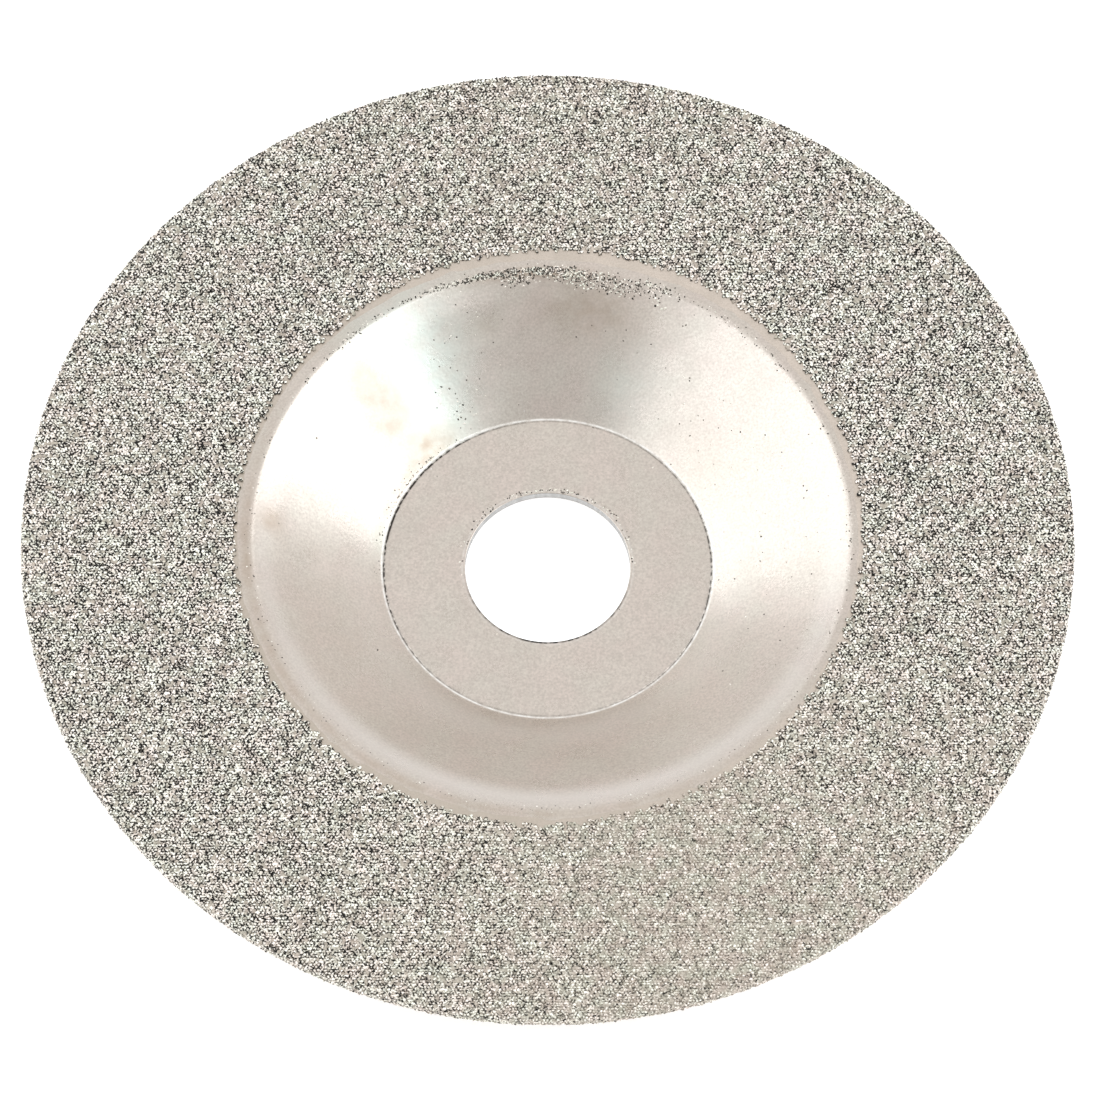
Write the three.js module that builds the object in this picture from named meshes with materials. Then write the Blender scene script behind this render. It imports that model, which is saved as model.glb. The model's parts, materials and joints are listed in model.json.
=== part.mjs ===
// A dished diamond grinding wheel: a pressed steel plate with a plated ring of diamond grit on its
// front face and outer edge. Millimetres, +Z up along the wheel's axis. The origin is the centre of
// the bore on the back face of the hub, and the grit faces +Z.
import * as THREE from 'three';

// Driving dimensions of the whole wheel
const wheelDiameter = 101.6;
const boreDiameter = 16;
const sheetThickness = 1;
const hubDiameter = 32; // the flat that the clamping flanges bear on, up to its press line
const dishDiameter = 58.6; // inside the flat rim
const dishDepth = 7.4; // from the hub's front face to the bare rim's front face
const creaseRadius = 0.5; // where the dish wall rises from the hub
const lipRadius = 1.8; // where it rolls over into the rim

// The plated coat
const bondThickness = 0.15;
const gritThickness = 0.25;
const bondInnerDiameter = 59.2;
const gritInnerDiameter = 60.6;

// Smoothness of the turned shapes
const turnSegments = 96;
const bendSteps = 6;

const wheelRadius = wheelDiameter / 2;
const coreRadius = wheelRadius - bondThickness - gritThickness;
const rimBack = dishDepth;
const rimFront = dishDepth + sheetThickness;

// The dish wall is a straight cone that touches both bends, so its slope and length follow from how
// far apart the centres of the two bends lie.
function coneWall() {
  const bendRadii = creaseRadius + lipRadius;
  const run = (dishDiameter - hubDiameter) / 2;
  const rise = dishDepth - bendRadii;
  const distance = Math.hypot(run, rise);
  return {
    slope: Math.atan2(rise, run) + Math.asin(bendRadii / distance),
    length: Math.sqrt(distance ** 2 - bendRadii ** 2),
  };
}

// The front face in section, from the bore out to the rim, as straight stretches and tangent bends.
// Each point keeps the face's slope there, so that the back face can be set off square to it.
function frontSection() {
  const points = [];
  const at = { r: boreDiameter / 2, z: sheetThickness, slope: 0 };
  const mark = () => points.push({ ...at });
  const straight = (length) => {
    at.r += length * Math.cos(at.slope);
    at.z += length * Math.sin(at.slope);
    mark();
  };
  const bend = (radius, newSlope) => {
    const turn = (newSlope - at.slope) / bendSteps;
    const chord = 2 * radius * Math.sin(Math.abs(turn) / 2);
    for (let step = 0; step < bendSteps; step += 1) {
      at.slope += turn / 2;
      at.r += chord * Math.cos(at.slope);
      at.z += chord * Math.sin(at.slope);
      at.slope += turn / 2;
      mark();
    }
  };
  const wall = coneWall();
  mark();
  straight((hubDiameter - boreDiameter) / 2);
  bend(creaseRadius, wall.slope);
  straight(wall.length);
  bend(lipRadius, 0);
  straight(coreRadius - at.r);
  return points;
}

// A closed section turned about Z. Its points, [radius, height], run counterclockwise.
function turned(name, section, look) {
  const closed = [...section, section[0]].map(([r, height]) => new THREE.Vector2(r, height));
  const mesh = new THREE.Mesh(
    new THREE.LatheGeometry(closed, turnSegments).rotateX(Math.PI / 2),
    new THREE.MeshStandardMaterial(look),
  );
  mesh.name = name;
  return mesh;
}

// The pressed plate: the front face, and the back face one sheet thickness behind it.
function steelCore() {
  const front = frontSection();
  const back = front.map(({ r, z, slope }) => [
    r + sheetThickness * Math.sin(slope),
    z - sheetThickness * Math.cos(slope),
  ]);
  const section = [...back, ...front.map(({ r, z }) => [r, z]).reverse()];
  return turned('steel_core', section, { color: 0xcfc5bb, roughness: 0.35, metalness: 1 });
}

// One layer of the coat: it lies on the rim's front face from innerRadius outwards, and hangs down
// over the edge as a skirt that ends level with the rim's back face.
function coatLayer(name, innerRadius, depthBelow, thickness, look) {
  const insideRadius = coreRadius + depthBelow;
  const insideTop = rimFront + depthBelow;
  const section = [
    [innerRadius, insideTop],
    [insideRadius, insideTop],
    [insideRadius, rimBack],
    [insideRadius + thickness, rimBack],
    [insideRadius + thickness, insideTop + thickness],
    [innerRadius, insideTop + thickness],
  ];
  return turned(name, section, look);
}

const wheel = new THREE.Group();
wheel.add(steelCore());
wheel.add(
  coatLayer('nickel_bond', bondInnerDiameter / 2, 0, bondThickness, {
    color: 0xb8aea4,
    roughness: 0.4,
    metalness: 1,
  }),
);
wheel.add(
  coatLayer('diamond_grit', gritInnerDiameter / 2, bondThickness, gritThickness, {
    color: 0xb3aaa1,
    roughness: 0.7,
    metalness: 0.3,
  }),
);

export default wheel;
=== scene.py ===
"""Looks for a dished diamond grinding wheel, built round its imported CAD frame.

Lengths are in millimetres until a mesh is made, and the studio's are in metres. Sections are drawn as
radius and height, and turned about Z. The grit is a crust of faceted grains, laid out flat on the rim
and wrapped over its edge, with drifts of loose grains caught in the plating of the dish. Azimuths run
from +X towards +Y.
"""

import json
import math

import bpy
import numpy as np
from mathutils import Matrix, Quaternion, Vector
from mathutils.geometry import delaunay_2d_cdt


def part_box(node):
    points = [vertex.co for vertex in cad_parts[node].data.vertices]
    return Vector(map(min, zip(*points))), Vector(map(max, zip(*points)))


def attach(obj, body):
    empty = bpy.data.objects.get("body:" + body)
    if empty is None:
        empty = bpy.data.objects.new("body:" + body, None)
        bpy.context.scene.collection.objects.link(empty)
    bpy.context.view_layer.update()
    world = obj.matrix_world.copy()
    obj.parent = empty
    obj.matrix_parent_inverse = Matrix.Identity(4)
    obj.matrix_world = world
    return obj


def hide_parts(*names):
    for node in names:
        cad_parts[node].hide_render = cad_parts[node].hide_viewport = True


MM = 0.001
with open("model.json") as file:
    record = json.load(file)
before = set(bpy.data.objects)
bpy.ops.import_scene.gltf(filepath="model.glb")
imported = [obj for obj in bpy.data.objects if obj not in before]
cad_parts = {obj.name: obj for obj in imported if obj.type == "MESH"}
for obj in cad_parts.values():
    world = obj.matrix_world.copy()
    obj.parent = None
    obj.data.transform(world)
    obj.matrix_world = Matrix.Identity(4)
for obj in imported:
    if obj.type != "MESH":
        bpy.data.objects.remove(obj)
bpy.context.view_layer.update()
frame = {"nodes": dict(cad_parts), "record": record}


def top_of(node):
    """The node's greatest X and Z, in millimetres."""
    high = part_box(node)[1] / MM
    return high.x, high.z


def inner_radius(node):
    """The radius of the hole through a turned node, in millimetres."""
    return min(math.hypot(v.co.x, v.co.y) for v in frame["nodes"][node].data.vertices) / MM


# Sizes from the frame
CORE_RADIUS, RIM_FRONT = top_of("steel_core")
BOND_RADIUS, BOND_TOP = top_of("nickel_bond")
GRIT_TOP = top_of("diamond_grit")[1]
BORE_RADIUS = inner_radius("steel_core")
BOND_INNER = inner_radius("nickel_bond")
GRIT_INNER = inner_radius("diamond_grit")
RIM_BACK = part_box("diamond_grit")[0].z / MM
MOUNTS = {mount["name"]: mount for mount in frame["record"]["mounts"]}
SHEET = MOUNTS["hub_front_seat"]["pos_m"][2] / MM

# The pressed form of the sheet, as in the CAD part
HUB_RADIUS = 16
DISH_RADIUS = 29.3
CREASE_BEND = 0.5
LIP_BEND = 1.8

# Fine finish of the pressed sheet
TURNS = 432  # steps round the wheel
SECTION_STEP = 0.3
RIM_ROUND = 0.18
BORE_ROUND = 0.1
LINE_RADIUS = 15.9  # the line pressed round the hub
LINE_DEPTH = 0.03
LINE_WIDTH = 0.06
RIPPLE = 0.012
BOW_START, BOW_PEAK, BOW_END = 16.5, 26.3, 28.9
BOW = 0.14
LIP_OFFSET = (0.25, 0.08)  # how far off centre the lip was pressed

# The grains
GRAIN_PITCH = 0.32
GRAIN_SHAKE = 0.3  # how far a grain strays from the even layout, as a share of the pitch
PEAK_SHAKE = 0.16
GRAIN_LOW, GRAIN_HIGH = 0.09, 0.21
GRAIN_STEEPEST = 1.3
VALLEY = 0.03
CRUST_ROOT = 0.13  # how deep the crust reaches into the bond
EMPTY_SHARE = 0.1  # places where plating has filled the gap instead of a grain
EDGE_RAGGED = 0.2

# How strongly the facets' painted light and shade differ
FACET_SWING = 0.38  # from the light to the dark side of one grain
FACET_SCATTER = 0.12
CONTRAST = 2.1
FLATTEST_AZIMUTH = -70  # the azimuth where the grains' painted light and shade is weakest
LOST_AT_FLATTEST = 1.6  # how much contrast is lost there
LOST_FAR_SIDE = 0.85  # and how much at +Y
EMPTY_CONTRAST = 0.2


def mesh_piece(name, vertices, faces, smooth, replaces=None):
    """A piece of the object from millimetre vertices, riding on the one body."""
    mesh = bpy.data.meshes.new(name)
    mesh.from_pydata((np.asarray(vertices) * MM).tolist(), [], faces)
    mesh.polygons.foreach_set("use_smooth", [smooth] * len(mesh.polygons))
    mesh.update()
    piece = bpy.data.objects.new(name, mesh)
    bpy.context.scene.collection.objects.link(piece)
    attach(piece, "root")
    if replaces:
        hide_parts(replaces)
    return piece


def paint(piece, name, values, domain="POINT"):
    """Stores one number for each vertex or face, for the materials to read."""
    layer = piece.data.attributes.new(name, "FLOAT", domain)
    layer.data.foreach_set("value", np.asarray(values, np.float32).ravel())


def ripple(x, y, wavelength, seed):
    """A smooth random height field of unit size, as a sum of waves in random directions."""
    draw = np.random.default_rng(seed)
    total = np.zeros_like(x)
    waves = 14
    for _ in range(waves):
        heading = draw.uniform(0, 2 * math.pi)
        length = wavelength * draw.uniform(0.6, 1.8)
        phase = draw.uniform(0, 2 * math.pi)
        total += np.sin((x * math.cos(heading) + y * math.sin(heading)) * 2 * math.pi / length + phase)
    return total / math.sqrt(waves / 2)


def band(radius, middle, width):
    """1 at a radius, fading to nothing within about the width on both sides."""
    return np.exp(-(((radius - middle) / width) ** 2))


def sector(angle, middle, spread):
    """1 at an azimuth, fading to nothing within about the spread on both sides, in degrees."""
    off = np.angle(np.exp(1j * (angle - math.radians(middle))))
    return np.exp(-((off / math.radians(spread)) ** 2))


# ---------------------------------------------------------------- pressed sheet


class Pen:
    """Draws a section as straight stretches and tangent bends, keeping the slope at each point."""

    def __init__(self, radius, height, slope=0.0):
        self.rows = [(radius, height, slope)]

    def straight(self, length, step=SECTION_STEP):
        radius, height, slope = self.rows[-1]
        count = max(1, round(length / step))
        for i in range(1, count + 1):
            along = length * i / count
            self.rows.append((radius + along * math.cos(slope), height + along * math.sin(slope), slope))

    def bend(self, bend_radius, new_slope, count):
        turn = (new_slope - self.rows[-1][2]) / count
        chord = 2 * bend_radius * math.sin(abs(turn) / 2)
        for _ in range(count):
            radius, height, slope = self.rows[-1]
            middle = slope + turn / 2
            end = (radius + chord * math.cos(middle), height + chord * math.sin(middle))
            self.rows.append((*end, slope + turn))


def cone_wall():
    """The dish wall's slope and length: a straight cone that touches both bends, as in the CAD part."""
    bends = CREASE_BEND + LIP_BEND
    run = DISH_RADIUS - HUB_RADIUS
    rise = RIM_FRONT - SHEET - bends
    distance = math.hypot(run, rise)
    return math.atan2(rise, run) + math.asin(bends / distance), math.sqrt(distance**2 - bends**2)


def sheet_rows():
    """The sheet's front face from the bore to the rim's edge: radius, height and slope."""
    slope, length = cone_wall()
    fine = 0.5
    edge_step, line_step, rim_step = 0.06, 0.03, 4
    pen = Pen(BORE_RADIUS + BORE_ROUND, SHEET)
    pen.straight(fine, edge_step)
    pen.straight(HUB_RADIUS - fine - pen.rows[-1][0])
    pen.straight(fine, line_step)
    pen.bend(CREASE_BEND, slope, 8)
    pen.straight(fine, edge_step)
    pen.straight(length - fine)
    pen.bend(LIP_BEND, 0, 16)
    pen.straight(2)
    pen.straight(CORE_RADIUS - RIM_ROUND - pen.rows[-1][0], rim_step)
    return np.array(pen.rows)


def rounded_corner(centre, start, end, size, count=5):
    """Points on a quarter bend of the given radius, without its ends."""
    angles = np.linspace(math.radians(start), math.radians(end), count + 2)[1:-1]
    return np.column_stack([centre[0] + size * np.cos(angles), centre[1] + size * np.sin(angles)])


def bow(radius):
    """How far the wall stands above a straight cone: it eases off before the tighter roll of its lip."""
    softness = 0.06
    rise = (radius - BOW_START) / (BOW_PEAK - BOW_START)
    fall = (BOW_END - radius) / (BOW_END - BOW_PEAK)
    lower = -softness * np.logaddexp(-rise / softness, -fall / softness)
    return BOW * np.clip(lower, 0, None)


def off_centre(points):
    """Shifts points near the lip by the little that the dish's press was off centre, in place."""
    shift = band(np.hypot(points[..., 0], points[..., 1]), 28.4, 3)
    points[..., 0] += LIP_OFFSET[0] * shift
    points[..., 1] += LIP_OFFSET[1] * shift


def core_section():
    """The sheet's closed section, counterclockwise, and which rows are its front and bore edge. The
    plain back needs only every second row."""
    radius, height, slope = sheet_rows().T
    line = LINE_DEPTH * band(radius, LINE_RADIUS, LINE_WIDTH)
    front = np.column_stack([radius, height + bow(radius) - line])
    back = np.column_stack([radius + SHEET * np.sin(slope), height - SHEET * np.cos(slope)])
    back = np.vstack([back[:-1:2], back[-1:]])
    bore_corner = BORE_RADIUS + BORE_ROUND
    rim_corner = CORE_RADIUS - RIM_ROUND
    parts = [
        back,
        rounded_corner((rim_corner, RIM_BACK + RIM_ROUND), -90, 0, RIM_ROUND),
        rounded_corner((rim_corner, RIM_FRONT - RIM_ROUND), 0, 90, RIM_ROUND),
        front[::-1],
        rounded_corner((bore_corner, SHEET - BORE_ROUND), 90, 180, BORE_ROUND),
        rounded_corner((bore_corner, BORE_ROUND), 180, 270, BORE_ROUND),
    ]
    start = sum(len(part) for part in parts[:3])
    return np.vstack(parts), slice(start, start + len(front) + len(parts[4]))


def revolve(section):
    """Vertices as an array by section point and turn, and the quads of the closed shape."""
    angles = np.arange(TURNS) * 2 * math.pi / TURNS
    radius, height = section[:, 0, None], section[:, 1, None]
    heights = np.broadcast_to(height, (len(section), TURNS))
    grid = np.stack([radius * np.cos(angles), radius * np.sin(angles), heights], axis=-1)
    index = np.arange(len(section) * TURNS).reshape(len(section), TURNS)
    after = np.roll(index, -1, axis=0)
    quads = np.stack([index, np.roll(index, -1, axis=1), np.roll(after, -1, axis=1), after], axis=-1)
    return grid, quads


def build_core():
    """The pressed and plated sheet, with the faint waviness that the press leaves in its front."""
    section, front = core_section()
    grid, quads = revolve(section)
    x, y = grid[..., 0], grid[..., 1]
    radius = np.hypot(x, y)
    fade_in, fade_out = 2, 3
    on_wall = np.clip((radius - HUB_RADIUS) / fade_in, 0, 1)
    on_wall *= np.clip((DISH_RADIUS - radius) / fade_out, 0, 1)
    angle = np.arctan2(y, x)
    grid[front, :, 2] += (RIPPLE * on_wall * ripple(x, y, wavelength=9, seed=11))[front]
    off_centre(grid)
    piece = mesh_piece(
        "pressed_steel_core",
        grid.reshape(-1, 3),
        quads.reshape(-1, 4).tolist(),
        True,
        "steel_core",
    )
    cut = np.max(radius.ravel()[quads.reshape(-1, 4)], axis=1) < BORE_RADIUS + BORE_ROUND * 0.4
    piece.data.polygons.foreach_set("material_index", cut.astype(np.int32))
    paint_core(piece, radius, angle, front)


def near_side(angle):
    """1 on the side of the wheel at -Y, falling to 0 at half a turn on both sides."""
    return 0.5 - 0.5 * np.sin(angle)


# Blots of tarnish in the plating: azimuth and spread in degrees, radius and spread in mm, strength
TARNISH = {
    "green_tarnish": [
        (124, 14, 23, 8, 1),
        (128, 10, 17.4, 1.6, 0.9),
        (68, 9, 20, 4, 0.4),
        (168, 9, 16.6, 0.7, 0.7),
    ],
    "brown_tarnish_and_side_dark": [
        (176, 2.8, 27.1, 1.2, 0.9),
        (81, 12, 25.6, 2.5, 0.6),
        (94, 12, 28.5, 0.5, 1),
        (104, 3, 24.6, 1.2, 0.3),
        (140, 6, 21, 2.4, 0.25),
        (35, 14, 19, 3, 0.2),
        (205, 28, 23, 7, 0.2),
        (130, 10, 17.2, 1.4, 0.8),
        (135, 6, 23, 5, 0.8),
        (155, 25, 16.7, 0.6, 0.6),
        (-100, 75, 29.5, 0.5, 0.6),
        (185, 22, 29.2, 0.6, 0.5),
    ],
}


def paint_core(piece, radius, angle, front):
    """Painted highlights and press-line shadow on the front, a dark bore edge, and tarnish."""
    on_front = np.zeros_like(radius)
    on_front[front] = 1
    # Painted highlight: a near-white ring just outside the press line, and a faint one by the bore.
    painted_ring_highlight = band(radius, LINE_RADIUS + 0.17, 0.09) + 0.25 * band(radius, BORE_RADIUS + 0.3, 0.1)
    paint(piece, "painted_ring_highlight", on_front * painted_ring_highlight)
    # Painted highlight on the near side: along the lip's roll, and faintly on the dish wall.
    painted_near_highlight = band(radius, 27.7, 1.1) + 0.4 * band(radius, 18, 2) * (radius > HUB_RADIUS)
    paint(piece, "painted_near_highlight", on_front * painted_near_highlight * near_side(angle) ** 2)
    # Painted shadow in the press line, darkest at the left and right and near azimuth 150 degrees; the
    # bore's edge is darker on the near side.
    sideways = 0.25 + 0.75 * np.cos(angle) ** 2 + sector(angle, 150, 35)
    bore_edge_dark = 1.4 * band(radius, BORE_RADIUS + 0.1, 0.1) * np.clip(-np.sin(angle), 0, 1)
    paint(piece, "line_shadow_and_bore_dark", on_front * (band(radius, LINE_RADIUS, 0.1) * sideways + bore_edge_dark))
    on_dish = on_front * (radius > LINE_RADIUS)
    for name, blots in TARNISH.items():
        total = np.zeros_like(radius)
        for turn, reach, middle, width, strength in blots:
            total += strength * sector(angle, turn, reach) * band(radius, middle, width)
        paint(piece, name, on_dish * np.clip(total, 0, 1))


# ---------------------------------------------------------------- bond


def build_bond():
    """The plated layer under the grains. Its inner edge comes up through the sheet's face at a very
    small angle and a slightly uneven radius, so that it fades out there."""
    sunk = 0.02
    edge = 0.1
    bevel = 0.04
    rising = [(2.1, 0.15), (1.1, 0.06), (0.5, 0.02), (0.05, -0.018)]
    section = np.array(
        [
            (BOND_INNER, RIM_FRONT - sunk),
            (CORE_RADIUS - RIM_ROUND, RIM_FRONT - sunk),
            (CORE_RADIUS - sunk, RIM_FRONT - RIM_ROUND),
            (CORE_RADIUS - sunk, RIM_BACK + edge),
            (BOND_RADIUS - bevel, RIM_BACK + edge),
            (BOND_RADIUS, RIM_BACK + edge + bevel),
            (BOND_RADIUS, BOND_TOP - RIM_ROUND),
            (BOND_RADIUS - RIM_ROUND * 0.3, BOND_TOP - RIM_ROUND * 0.3),
            (BOND_RADIUS - RIM_ROUND, BOND_TOP),
        ]
        + [(BOND_INNER + inward, RIM_FRONT + height) for inward, height in rising]
    )
    grid, quads = revolve(section)
    uneven = grid[-3:-1]
    uneven[..., 2] += 0.012 * ripple(uneven[..., 0], uneven[..., 1], wavelength=3, seed=7)
    piece = mesh_piece(
        "nickel_bond_layer",
        grid.reshape(-1, 3),
        quads.reshape(-1, 4).tolist(),
        True,
        "nickel_bond",
    )
    # Darker on one side of the ring: most at azimuth -147 degrees, none at +33.
    paint(piece, "brown_tarnish_and_side_dark", near_side(np.arctan2(grid[..., 1], grid[..., 0]) + 1))


# ---------------------------------------------------------------- grains

CORNER = 0.2  # the bend over which the crust turns down at the rim's edge
SKIRT_END = 0.1  # how far above the rim's back face the crust ends
WRAP_START = BOND_RADIUS - CORNER
WRAP_LENGTH = CORNER * math.pi / 2
SKIRT = BOND_TOP - CORNER - RIM_BACK - SKIRT_END
LAID_OUT_RADIUS = WRAP_START + WRAP_LENGTH + SKIRT


def coat_edge(angle):
    """The radius where the grains begin: a ring slightly oval, off centre and wavy."""
    shift = 0.1 * np.cos(angle) + 0.15 * np.sin(angle)
    oval = -0.26 * np.cos(2 * angle) + 0.18 * np.sin(2 * angle)
    waves = 0.05 * np.sin(7 * angle + 1) + 0.04 * np.sin(17 * angle + 2.2)
    return GRIT_INNER + shift + oval + waves


def wrap(points, height):
    """Flat points and heights above the bond, in space: flat on the rim, then over its edge."""
    laid = np.hypot(points[:, 0], points[:, 1])
    around = points / laid[:, None]
    past = np.clip(laid - WRAP_START, 0, None)
    lean = np.clip(past / CORNER, 0, math.pi / 2)
    below = np.clip(past - WRAP_LENGTH, 0, None)
    radius = np.minimum(laid, WRAP_START) + (CORNER + height) * np.sin(lean)
    z = BOND_TOP - CORNER + (CORNER + height) * np.cos(lean) - below
    return np.column_stack([around * radius[:, None], z])


def grain_seeds(draw):
    """Grain centres: a close-packed layout, shaken so that no rows show."""
    margin = 2
    reach = LAID_OUT_RADIUS + 2 * GRAIN_PITCH
    across = np.arange(-reach, reach, GRAIN_PITCH)
    up = np.arange(-reach, reach, GRAIN_PITCH * math.sin(math.pi / 3))
    x, y = np.meshgrid(across, up)
    x[1::2] += GRAIN_PITCH / 2
    seeds = np.column_stack([x.ravel(), y.ravel()])
    seeds += draw.uniform(-GRAIN_SHAKE, GRAIN_SHAKE, seeds.shape) * GRAIN_PITCH
    laid = np.hypot(seeds[:, 0], seeds[:, 1])
    return seeds[(laid > GRIT_INNER - margin) & (laid < reach)]


def grain_outlines(seeds):
    """Corners between grains, then for each side of each grain: the grain, and its two corners."""
    same_point = 1e-7
    found = delaunay_2d_cdt([Vector(seed) for seed in seeds], [], [], 0, same_point)
    triangles = np.array(found[2])
    corners = seeds[triangles].mean(axis=1)
    grain = triangles.ravel()
    corner = np.repeat(np.arange(len(triangles)), 3)
    arm = corners[corner] - seeds[grain]
    order = np.lexsort((np.arctan2(arm[:, 1], arm[:, 0]), grain))
    grain, corner = grain[order], corner[order]
    first = np.searchsorted(grain, np.arange(len(seeds)))
    following = np.arange(1, len(grain) + 1)
    last = np.append(grain[1:] != grain[:-1], True)
    following[last] = first[grain[last]]
    return corners, grain, corner, corner[following]


def grain_heights(draw, peak, corners, grain, corner):
    """How high each grain stands, and which places are empty. Narrow grains are kept low."""
    height = draw.uniform(GRAIN_LOW, GRAIN_HIGH, len(peak))
    empty = draw.random(len(peak)) < EMPTY_SHARE
    reach = np.full(len(peak), np.inf)
    np.minimum.at(reach, grain, np.linalg.norm(corners[corner] - peak[grain], axis=1))
    height = np.minimum(height, GRAIN_STEEPEST * reach)
    height[empty] = VALLEY
    return height, empty


def facet_looks(draw, seeds, peak, corners, grain, corner, after, empty):
    """How bright each facet is painted, and how strongly it sparkles: every crystal is painted with a
    lit and a shaded side, strongest at the sides of the wheel, weaker at +Y and weakest near azimuth
    -70."""
    middle = (corners[corner] + corners[after]) / 2 - peak[grain]
    heading = np.arctan2(middle[:, 1], middle[:, 0])
    light_side = draw.uniform(0, 2 * math.pi, len(seeds))
    tone = -FACET_SWING * np.cos(heading - light_side[grain])
    tone += draw.normal(0, FACET_SCATTER, len(grain))
    angle = np.arctan2(seeds[:, 1], seeds[:, 0])
    # The facets' painted light and shade is weakest near azimuth -70 degrees and weaker at +Y; facets
    # are a little paler near -70.
    near_flattest = np.clip(np.cos(angle - math.radians(FLATTEST_AZIMUTH)), 0, None) ** 2
    far_side = np.clip(np.sin(angle), 0, None) ** 4
    sparkle_strength = CONTRAST - LOST_AT_FLATTEST * near_flattest - LOST_FAR_SIDE * far_side
    sparkle_strength += 0.06 * ripple(seeds[:, 0], seeds[:, 1], wavelength=3, seed=3)
    sparkle_strength[empty] = EMPTY_CONTRAST
    sparkle_strength = sparkle_strength[grain]
    return 0.5 + 0.07 * near_flattest[grain] + tone * sparkle_strength, sparkle_strength


def closing_faces(grain, corner, after, count):
    """The base under each grain, and the walls along the crust's outline."""
    starts = np.flatnonzero(np.append(True, grain[1:] != grain[:-1]))
    bases = [(ring[::-1] + count).tolist() for ring in np.split(corner, starts[1:])]
    forward, backward = corner * count + after, after * count + corner
    rim = ~np.isin(forward, backward)
    walls = np.column_stack([after, corner, corner + count, after + count])[rim]
    return bases + walls.tolist()


def build_crust():
    """The crust of grains: pyramids with uneven sides over a common base, closed underneath."""
    draw = np.random.default_rng(5)
    seeds = grain_seeds(draw)
    corners, grain, corner, after = grain_outlines(seeds)
    angle = np.arctan2(seeds[:, 1], seeds[:, 0])
    laid = np.hypot(seeds[:, 0], seeds[:, 1])
    starts_at = coat_edge(angle) + draw.exponential(EDGE_RAGGED, len(seeds))
    wanted = (laid > starts_at) & (laid < LAID_OUT_RADIUS)
    sides = wanted[grain]
    grain, corner, after = grain[sides], corner[sides], after[sides]

    peak = seeds + draw.uniform(-PEAK_SHAKE, PEAK_SHAKE, seeds.shape) * GRAIN_PITCH
    height, empty = grain_heights(draw, peak, corners, grain, corner)
    count = len(corners)
    flat = np.vstack([corners, corners, peak])
    heights = np.concatenate([draw.uniform(0, VALLEY, count), np.full(count, -CRUST_ROOT), height])
    facets = np.column_stack([corner, after, 2 * count + grain]).tolist()
    tone, sparkle = facet_looks(draw, seeds, peak, corners, grain, corner, after, empty)
    closing = closing_faces(grain, corner, after, count)
    hidden = np.full(len(closing), 0.5)

    used = np.unique(np.concatenate([corner, corner + count, 2 * count + grain]))
    renumber = np.zeros(len(flat), int)
    renumber[used] = np.arange(len(used))
    faces = [renumber[face].tolist() for face in facets + closing]
    vertices = wrap(flat, heights)[used]
    piece = mesh_piece("diamond_grit_crust", vertices, faces, False, "diamond_grit")
    # The grit material paints each grain dark in its valleys and bright at its peak from this.
    paint(piece, "relief", np.repeat([0.0, 0.0, 1.0], [count, count, len(seeds)])[used])
    paint(piece, "facet_tone", np.append(tone, hidden), "FACE")
    paint(piece, "sparkle", np.append(sparkle, hidden), "FACE")


# Drifts of loose grains: azimuth and spread in degrees, radius and spread in mm, how many, how big
DRIFTS = [
    (102, 4.5, 28.72, 0.16, 330, 0.095),
    (91, 5, 28.6, 0.24, 560, 0.095),
    (97, 1.6, 27.95, 0.24, 100, 0.095),
    (82, 4.5, 28.2, 0.32, 300, 0.095),
    (79, 3, 27.5, 0.25, 90, 0.09),
    (73, 3, 27.9, 0.3, 80, 0.09),
    (68.5, 2.2, 28.7, 0.22, 90, 0.095),
    (67, 1.2, 27.35, 0.15, 8, 0.13),
    (112, 5, 28.85, 0.15, 90, 0.085),
    (130, 12, 28.85, 0.16, 120, 0.08),
    (50, 10, 28.75, 0.22, 90, 0.08),
    (5, 20, 28.9, 0.2, 90, 0.08),
    (180, 18, 28.95, 0.2, 60, 0.07),
    (240, 26, 28.95, 0.2, 70, 0.06),
    (300, 26, 28.95, 0.2, 70, 0.06),
    (45, 24, 22, 3.5, 80, 0.08),
    (117, 3.5, 18.6, 1.2, 36, 0.09),
    (112, 7, 25, 2, 40, 0.08),
    (-8, 14, 24, 3, 40, 0.08),
    (90, 45, 8.4, 0.13, 170, 0.085),
    (145, 14, 16.36, 0.05, 100, 0.06),
    (160, 14, 16.7, 0.2, 30, 0.07),
    (211, 0.3, 19, 0.05, 2, 0.13),
]


def loose_places(draw):
    """Azimuth, radius and size of every loose grain. None lies in the bore or out on the rim."""
    places = []
    for turn, turn_spread, radius, spread, count, size in DRIFTS:
        turns = np.radians(draw.normal(turn, turn_spread, count))
        radii = draw.normal(radius, spread, count)
        places.append(np.column_stack([turns, radii, size * draw.uniform(0.6, 1.4, count)]))
    turns, radii, sizes = np.vstack(places).T
    return turns, np.clip(radii, BORE_RADIUS + 0.2, DISH_RADIUS + 0.1), sizes


def surface_frames(turns, radii):
    """Places on the sheet's front, and the directions there: along it, uphill and out of it."""
    rows = sheet_rows()
    height = np.interp(radii, rows[:, 0], rows[:, 1]) + bow(radii)
    slope = np.interp(radii, rows[:, 0], rows[:, 2])[:, None]
    outward = np.column_stack([np.cos(turns), np.sin(turns), np.zeros_like(turns)])
    along = np.column_stack([-np.sin(turns), np.cos(turns), np.zeros_like(turns)])
    up = np.array([0, 0, 1])
    uphill = outward * np.cos(slope) + up * np.sin(slope)
    normal = up * np.cos(slope) - outward * np.sin(slope)
    centre = outward * radii[:, None] + up * height[:, None]
    off_centre(centre)
    return centre, along, uphill, normal


def crystal_faces(sides):
    """Triangles from a ring of corners to the crown, which follows them, and to the root after it."""
    faces = []
    for side in range(sides):
        following = (side + 1) % sides
        faces += [(side, following, sides), (following, side, sides + 1)]
    return np.array(faces)


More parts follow.
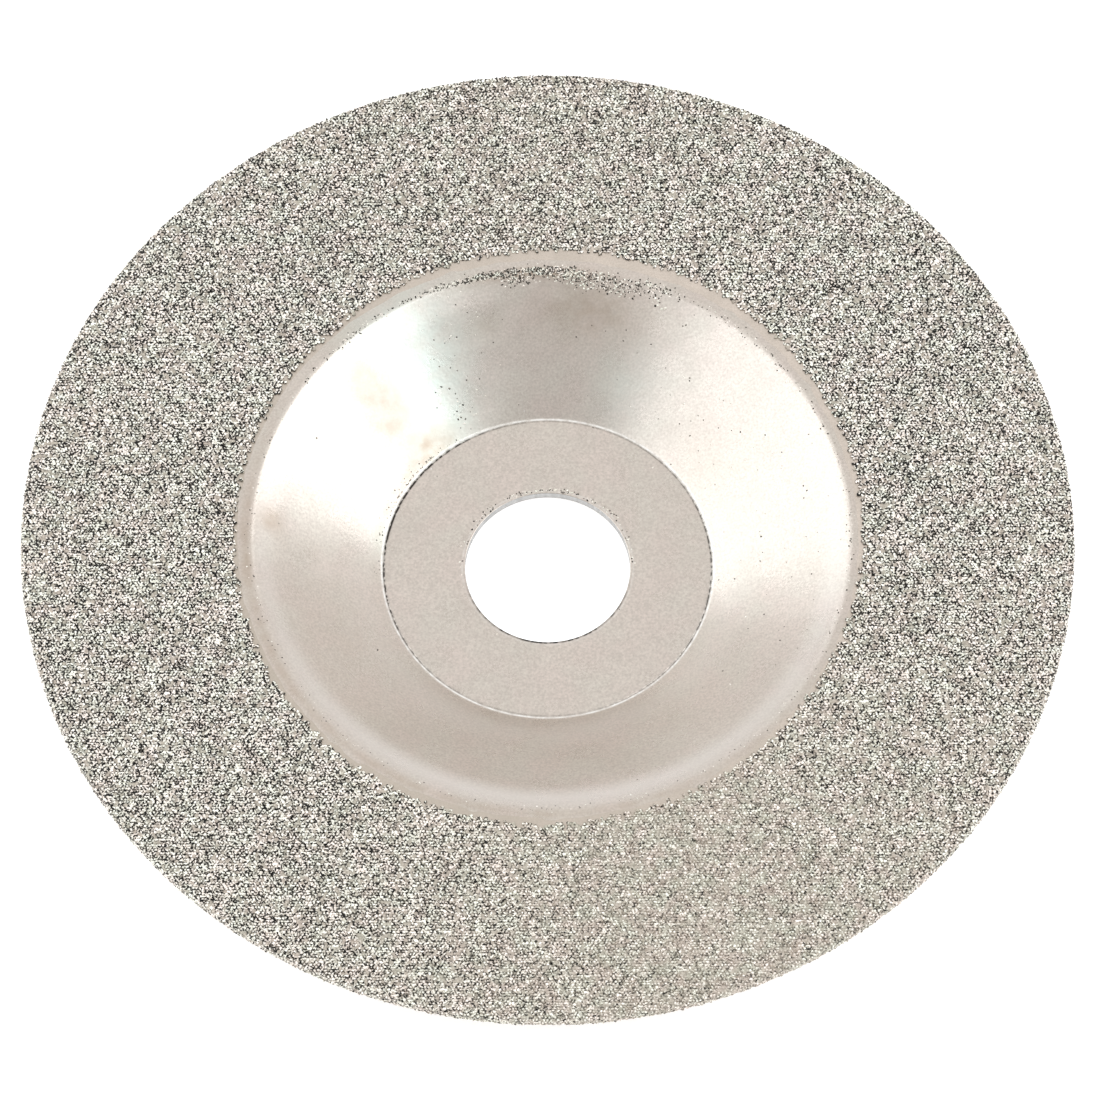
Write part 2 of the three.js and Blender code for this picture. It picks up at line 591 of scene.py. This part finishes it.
def build_loose_grains():
    """Loose grains caught in the plating: small crystals with five sides, sunk by half."""
    draw = np.random.default_rng(9)
    turns, radii, sizes = loose_places(draw)
    centre, along, uphill, normal = surface_frames(turns, radii)
    sides = 5
    crown_height, root_depth = 0.75, 0.8
    dark_share = 0.55
    count = len(turns)
    size = sizes[:, None]
    angles = np.arange(sides) * 2 * math.pi / sides + draw.uniform(0, 1, (count, sides))
    reach = size * draw.uniform(0.7, 1.15, (count, sides))
    lift = size * draw.uniform(-0.2, 0.25, (count, sides))
    ring = (
        centre[:, None]
        + along[:, None] * (reach * np.cos(angles))[..., None]
        + uphill[:, None] * (reach * np.sin(angles))[..., None]
        + normal[:, None] * lift[..., None]
    )
    skew = draw.uniform(-0.3, 0.3, (count, 2)) * size
    crown = centre + normal * size * crown_height + along * skew[:, :1] + uphill * skew[:, 1:]
    root = centre - normal * size * root_depth
    vertices = np.concatenate([ring, crown[:, None], root[:, None]], axis=1)
    faces = np.arange(count)[:, None, None] * (sides + 2) + crystal_faces(sides)
    piece = mesh_piece(
        "loose_diamond_grains",
        vertices.reshape(-1, 3),
        faces.reshape(-1, 3).tolist(),
        False,
    )
    dark_or_bright = np.where(draw.random(count) < dark_share, 0, 1.1)
    tone = np.repeat(dark_or_bright, 2 * sides) + draw.normal(0, 0.2, len(piece.data.polygons))
    paint(piece, "facet_tone", tone, "FACE")


build_core()
build_bond()
build_crust()
build_loose_grains()


# ---------------------------------------------------------------- materials


# Sockets of the mix node when it mixes colours
SHARE, FIRST, SECOND, MIXED = 0, 6, 7, 2


class Nodes:
    """A new material's node tree, with short ways to add what these materials need."""

    def __init__(self, name, metallic, roughness):
        self.material = bpy.data.materials.new(name)
        self.material.use_nodes = True
        self.tree = self.material.node_tree
        self.shader = self.tree.nodes["Principled BSDF"]
        self.shader.inputs["Metallic"].default_value = metallic
        self.shader.inputs["Roughness"].default_value = roughness
        self.place = self.tree.nodes.new("ShaderNodeTexCoord").outputs["Object"]

    def link(self, source, target):
        self.tree.links.new(source, target)

    def noise(self, size, detail=2.0):
        """Soft noise with features of about the given size in millimetres."""
        node = self.tree.nodes.new("ShaderNodeTexNoise")
        node.inputs["Scale"].default_value = 1 / (size * MM)
        node.inputs["Detail"].default_value = detail
        self.link(self.place, node.inputs["Vector"])
        return node.outputs["Fac"]

    def ranged(self, value, low, high, to_low=0.0, to_high=1.0):
        """The value stretched from one range to another, and held within it."""
        node = self.tree.nodes.new("ShaderNodeMapRange")
        sockets = ("From Min", "From Max", "To Min", "To Max")
        for socket, number in zip(sockets, (low, high, to_low, to_high)):
            node.inputs[socket].default_value = number
        self.link(value, node.inputs["Value"])
        return node.outputs["Result"]

    def math(self, operation, first, second):
        node = self.tree.nodes.new("ShaderNodeMath")
        node.operation = operation
        for socket, value in zip(node.inputs, (first, second)):
            if isinstance(value, (int, float)):
                socket.default_value = value
            else:
                self.link(value, socket)
        return node.outputs["Value"]

    def attribute(self, name):
        node = self.tree.nodes.new("ShaderNodeAttribute")
        node.attribute_name = name
        return node.outputs["Fac"]

    def mix(self, share, first, second, blend="MIX"):
        """One colour over another. Colours are sockets or red, green and blue."""
        node = self.tree.nodes.new("ShaderNodeMix")
        node.data_type = "RGBA"
        node.blend_type = blend
        for place, value in ((SHARE, share), (FIRST, first), (SECOND, second)):
            socket = node.inputs[place]
            if isinstance(value, tuple):
                socket.default_value = (*value, 1)
            elif isinstance(value, (int, float)):
                socket.default_value = value
            else:
                self.link(value, socket)
        return node.outputs[MIXED]

    def specks(self, spacing, size, share):
        """1 on small dots about the given size across, on a share of the places that have one."""
        node = self.tree.nodes.new("ShaderNodeTexVoronoi")
        node.inputs["Scale"].default_value = 1 / (spacing * MM)
        self.link(self.place, node.inputs["Vector"])
        dot = self.ranged(node.outputs["Distance"], size / spacing / 2, size / spacing / 4)
        chosen = self.math("LESS_THAN", node.outputs["Color"], share)
        return self.math("MULTIPLY", dot, chosen)

    def cells(self, size):
        """A random number for each of the cells of a broken pattern of the given size."""
        node = self.tree.nodes.new("ShaderNodeTexVoronoi")
        node.inputs["Scale"].default_value = 1 / (size * MM)
        self.link(self.place, node.inputs["Vector"])
        parts = self.tree.nodes.new("ShaderNodeSeparateColor")
        self.link(node.outputs["Color"], parts.inputs["Color"])
        return parts.outputs["Red"]

    def bump(self, height, depth):
        """Relief of the given depth in millimetres."""
        node = self.tree.nodes.new("ShaderNodeBump")
        node.inputs["Strength"].default_value = 1
        node.inputs["Distance"].default_value = depth * MM
        self.link(height, node.inputs["Height"])
        self.link(node.outputs["Normal"], self.shader.inputs["Normal"])

    def colour(self, socket):
        self.link(socket, self.shader.inputs["Base Color"])

    def roughness(self, socket):
        self.link(socket, self.shader.inputs["Roughness"])


def satin_colour(nodes):
    """Nickel's own colour: soft clouds of warmer and cooler grey under a fine mottling."""
    clouds = nodes.ranged(nodes.noise(5, 5), 0.3, 0.7)
    colour = nodes.mix(clouds, (0.68, 0.61, 0.545), (0.735, 0.66, 0.59))
    hue = nodes.ranged(nodes.noise(3.5, 2), 0.35, 0.65)
    colour = nodes.mix(0.5, colour, nodes.mix(hue, (0.685, 0.65, 0.575), (0.73, 0.625, 0.57)))
    satin = nodes.ranged(nodes.noise(0.22, 3), 0.3, 0.7, 0, 0.8)
    return nodes.mix(satin, colour, (0.52, 0.465, 0.415))


def tarnished(nodes, colour):
    """The colour under patchy green and brown tarnish."""
    patchy = nodes.ranged(nodes.noise(1.3, 4), 0.35, 0.65)
    green = nodes.math("MULTIPLY", nodes.attribute("green_tarnish"), nodes.ranged(patchy, 0, 1, 0.6, 1))
    colour = nodes.mix(green, colour, (0.645, 0.695, 0.635))
    brown = nodes.math("MULTIPLY", nodes.attribute("brown_tarnish_and_side_dark"), nodes.ranged(patchy, 0, 1, 0.5, 1))
    return nodes.mix(brown, colour, (0.47, 0.38, 0.30))


def painted_light_and_bore_dark(nodes, colour):
    """The colour with painted highlights and press-line shadow, and the bore edge's darker near side."""
    # Painted highlight on the near side.
    painted_near_highlight = nodes.math("MULTIPLY", nodes.attribute("painted_near_highlight"), 0.6)
    colour = nodes.mix(painted_near_highlight, colour, (0.84, 0.79, 0.75))
    # Painted highlight beside the press line and by the bore.
    uneven = nodes.ranged(nodes.noise(0.6), 0.35, 0.6, 0.3, 1)
    painted_ring_highlight = nodes.math("MULTIPLY", nodes.attribute("painted_ring_highlight"), uneven)
    colour = nodes.mix(painted_ring_highlight, colour, (1.0, 0.98, 0.94))
    # Near-black painted shadow in the press line, and the darker near side of the bore's edge.
    dashes = nodes.ranged(nodes.noise(0.45, 1), 0.4, 0.55, 0.4, 1)
    line_shadow_and_bore_dark = nodes.math("MULTIPLY", nodes.attribute("line_shadow_and_bore_dark"), dashes)
    return nodes.mix(line_shadow_and_bore_dark, colour, (0.04, 0.035, 0.03))


def nickel_plate():
    """Satin nickel: mottled, faintly tarnished, with specks, painted highlights and a painted shadow
    line.
    """
    nodes = Nodes("satin_nickel", 1, 0.3)
    colour = painted_light_and_bore_dark(nodes, tarnished(nodes, satin_colour(nodes)))
    crowd = nodes.ranged(nodes.noise(14, 1), 0.5, 0.65)
    dark = nodes.math("MULTIPLY", nodes.specks(1.6, 0.24, 0.35), crowd)
    colour = nodes.mix(dark, colour, (0.16, 0.14, 0.12))
    light = nodes.math("MULTIPLY", nodes.specks(2.1, 0.2, 0.25), 0.8)
    colour = nodes.mix(light, colour, (0.95, 0.93, 0.9))
    nodes.colour(colour)
    nodes.roughness(nodes.ranged(nodes.noise(3, 4), 0.25, 0.75, 0.24, 0.34))
    relief = nodes.math("ADD", nodes.noise(0.35, 4), nodes.math("MULTIPLY", dark, -2))
    nodes.bump(relief, 0.008)
    return nodes.material


def cut_steel():
    """The punched edge of the bore: bare steel with fine marks along the punch's way."""
    nodes = Nodes("cut_steel", 1, 0.5)
    marks = nodes.tree.nodes.new("ShaderNodeMapping")
    marks.inputs["Scale"].default_value = (1, 1, 0.12)
    nodes.link(nodes.place, marks.inputs["Vector"])
    nodes.place = marks.outputs["Vector"]
    stripes = nodes.ranged(nodes.noise(0.4, 3), 0.35, 0.65)
    nodes.colour(nodes.mix(stripes, (0.44, 0.43, 0.42), (0.53, 0.52, 0.51)))
    nodes.bump(stripes, 0.003)
    return nodes.material


def nickel_bond():
    """Matt nickel, plated without polish: warmer and more granular than the sheet."""
    nodes = Nodes("matt_nickel", 1, 0.45)
    clouds = nodes.ranged(nodes.noise(2.5, 4), 0.3, 0.7)
    colour = nodes.mix(clouds, (0.60, 0.525, 0.455), (0.69, 0.60, 0.525))
    grainy = nodes.ranged(nodes.noise(0.18, 2), 0.35, 0.7, 0, 0.5)
    colour = nodes.mix(grainy, colour, (0.48, 0.42, 0.36))
    # Darker brown on one side of the ring.
    one_side_darker = nodes.math("MULTIPLY", nodes.attribute("brown_tarnish_and_side_dark"), 0.5)
    nodes.colour(nodes.mix(one_side_darker, colour, (0.44, 0.39, 0.32)))
    nodes.bump(nodes.noise(0.25, 3), 0.012)
    return nodes.material


def diamond_grit():
    """Diamond grains in nickel: facets painted lit or shaded, painted glints, shaded valleys, lit peaks.
    """
    nodes = Nodes("diamond_grains", 0.5, 0.3)
    # Painted glints: cells inside each facet, brighter or darker.
    glint = nodes.math("MULTIPLY", nodes.math("SUBTRACT", nodes.cells(0.14), 0.5), 1.4)
    # Painted shade in the valleys between grains and a painted highlight at their peaks.
    relief = nodes.math("SUBTRACT", nodes.attribute("relief"), 0.36)
    glint = nodes.math("MULTIPLY", nodes.math("ADD", glint, relief), nodes.attribute("sparkle"))
    ramp = nodes.tree.nodes.new("ShaderNodeValToRGB")
    ramp.color_ramp.elements[0].color = (0.006, 0.005, 0.004, 1)
    ramp.color_ramp.elements[1].color = (1.0, 0.96, 0.89, 1)
    for place, colour in ((0.3, (0.335, 0.30, 0.255, 1)), (0.7, (0.565, 0.51, 0.435, 1))):
        ramp.color_ramp.elements.new(place).color = colour
    nodes.link(nodes.math("ADD", nodes.attribute("facet_tone"), glint), ramp.inputs["Fac"])
    hue = nodes.ranged(nodes.noise(1.5, 2), 0.35, 0.65)
    tint = nodes.mix(hue, (0.95, 0.985, 0.95), (1.0, 0.95, 0.945))
    nodes.colour(nodes.mix(1.0, ramp.outputs["Color"], tint, "MULTIPLY"))
    nodes.roughness(nodes.ranged(nodes.noise(0.2, 2), 0.3, 0.7, 0.2, 0.45))
    return nodes.material


def dress(name, *materials):
    """Gives a piece its materials, in the order of its faces' material indices."""
    for material in materials:
        bpy.data.objects[name].data.materials.append(material)


grit = diamond_grit()
dress("pressed_steel_core", nickel_plate(), cut_steel())
dress("nickel_bond_layer", nickel_bond())
dress("diamond_grit_crust", grit)
dress("loose_diamond_grains", grit)


# ---------------------------------------------------------------- studio


def floor():
    """A plain pale sheet, far larger than the view, a hair below the hub so that no faces coincide."""
    nodes = Nodes("pale_floor", 0, 0.9)
    nodes.shader.inputs["Base Color"].default_value = (0.9, 0.9, 0.9, 1)
    nodes.shader.inputs["Emission Color"].default_value = (1, 1, 1, 1)
    nodes.shader.inputs["Emission Strength"].default_value = 0.45
    mesh = bpy.data.meshes.new("floor")
    half = 3
    level = -0.1 * MM
    corners = [(-half, -half, level), (half, -half, level), (half, half, level), (-half, half, level)]
    mesh.from_pydata(corners, [], [(0, 1, 2, 3)])
    mesh.materials.append(nodes.material)
    sheet = bpy.data.objects.new("floor", mesh)
    bpy.context.scene.collection.objects.link(sheet)


def soft_box(name, direction, distance, size, power, roll=0):
    """A square lamp that faces the wheel from a direction, a little cooler than the tent. Its roll
    about that direction is in degrees."""
    lamp = bpy.data.lights.new(name, "AREA")
    lamp.color = (0.88, 0.95, 1.0)
    lamp.shape = "SQUARE"
    lamp.size = size
    lamp.energy = power
    holder = bpy.data.objects.new(name, lamp)
    towards = Vector(direction).normalized()
    holder.location = towards * distance
    holder.rotation_mode = "QUATERNION"
    level = towards.to_track_quat("Z", "Y")
    holder.rotation_quaternion = level @ Quaternion((0, 0, 1), math.radians(roll))
    bpy.context.scene.collection.objects.link(holder)


def studio():
    """A light tent, dimmer on the side of its opening, with a soft box on the left and the right."""
    scene = bpy.context.scene
    scene.view_settings.view_transform = "Standard"
    world = bpy.data.worlds.new("studio")
    world.use_nodes = True
    tree = world.node_tree
    direction = tree.nodes.new("ShaderNodeTexCoord").outputs["Generated"]
    split = tree.nodes.new("ShaderNodeSeparateXYZ")
    shade = tree.nodes.new("ShaderNodeMapRange")
    shade.interpolation_type = "SMOOTHSTEP"
    from_opening_to_back = {"From Min": -0.6, "From Max": 0.3, "To Min": 0.72, "To Max": 0.97}
    for socket, number in from_opening_to_back.items():
        shade.inputs[socket].default_value = number
    tree.links.new(direction, split.inputs["Vector"])
    tree.links.new(split.outputs["Y"], shade.inputs["Value"])
    tree.links.new(shade.outputs["Result"], tree.nodes["Background"].inputs["Strength"])
    tree.nodes["Background"].inputs["Color"].default_value = (1, 1, 1, 1)
    scene.world = world
    soft_box("left_box", (-0.76, 0.1, 0.62), 0.8, 0.95, 2.9)
    soft_box("right_box", (0.69, -0.04, 0.72), 0.8, 0.71, 2.42, roll=-18)


def camera():
    """The photo's view, 64 degrees above the wheel's plane, with the wheel as large as in the photo."""
    elevation = math.radians(64)
    distance = 0.7
    pixels_per_mm = 10.41
    image_side = 1100
    right = Vector((1, 0, 0))
    up = Vector((0, math.sin(elevation), math.cos(elevation)))
    back = Vector((0, -math.cos(elevation), math.sin(elevation)))
    aim = Vector((0, 0, GRIT_TOP * MM)) + right * 0.23 * MM - up * 1.75 * MM
    data = bpy.data.cameras.new("camera")
    data.sensor_width = 36
    data.lens = data.sensor_width * pixels_per_mm * distance / MM / image_side
    data.clip_start = 0.01
    data.clip_end = 20
    holder = bpy.data.objects.new("camera", data)
    holder.location = aim + back * distance
    holder.rotation_mode = "QUATERNION"
    holder.rotation_quaternion = back.to_track_quat("Z", "Y")
    bpy.context.scene.collection.objects.link(holder)
    bpy.context.scene.camera = holder


floor()
studio()
camera()
